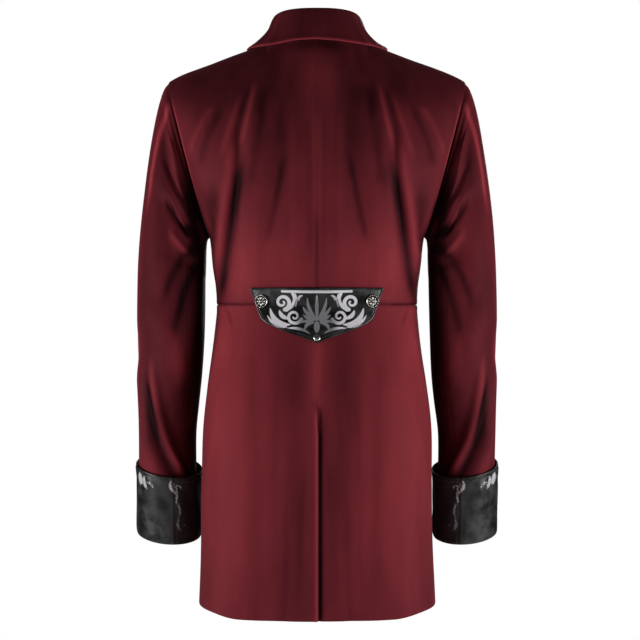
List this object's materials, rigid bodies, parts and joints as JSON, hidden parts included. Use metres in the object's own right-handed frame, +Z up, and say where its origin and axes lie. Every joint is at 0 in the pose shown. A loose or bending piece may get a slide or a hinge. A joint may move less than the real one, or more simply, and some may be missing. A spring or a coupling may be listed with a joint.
{
  "type": "tailcoat",
  "caption": "Velvet tailcoat for a man, with a turned-down collar, turned-back cuffs, a pointed buttoned back tab, cutaway front and back vent, in its worn shape",
  "frame": {"origin": "midway between the two points where the shoulder seams meet the collar, where the wearer's shoulders carry the coat", "axes": "+Z up, -Y the coat's front, +Y its back, +X the wearer's left"},
  "size_m": [0.5534, 0.2735, 0.8672],
  "materials": {
    "wine_velvet": "matt velvet with a soft sheen",
    "black_leather": "smooth, glossy leathercloth with a silver scroll pattern on the tab",
    "old_silver": "darkened cast metal"
  },
  "bodies": {
    "root": {"back_left": "wine_velvet", "back_right": "wine_velvet", "back_tab": "black_leather", "collar": "wine_velvet", "cuff_left": "black_leather", "cuff_right": "black_leather", "front_button_1": "old_silver", "front_button_2": "old_silver", "front_button_3": "old_silver", "front_button_4": "old_silver", "front_button_5": "old_silver", "front_left": "wine_velvet", "front_right": "wine_velvet", "lower_top_sleeve_left": "wine_velvet", "lower_top_sleeve_right": "wine_velvet", "lower_under_sleeve_left": "wine_velvet", "lower_under_sleeve_right": "wine_velvet", "skirt_left": "wine_velvet", "skirt_right": "wine_velvet", "tab_button_left": "old_silver", "tab_button_right": "old_silver", "tab_stud": "old_silver", "upper_top_sleeve_left": "wine_velvet", "upper_top_sleeve_right": "wine_velvet", "upper_under_sleeve_left": "wine_velvet", "upper_under_sleeve_right": "wine_velvet"}
  },
  "joints": []
}
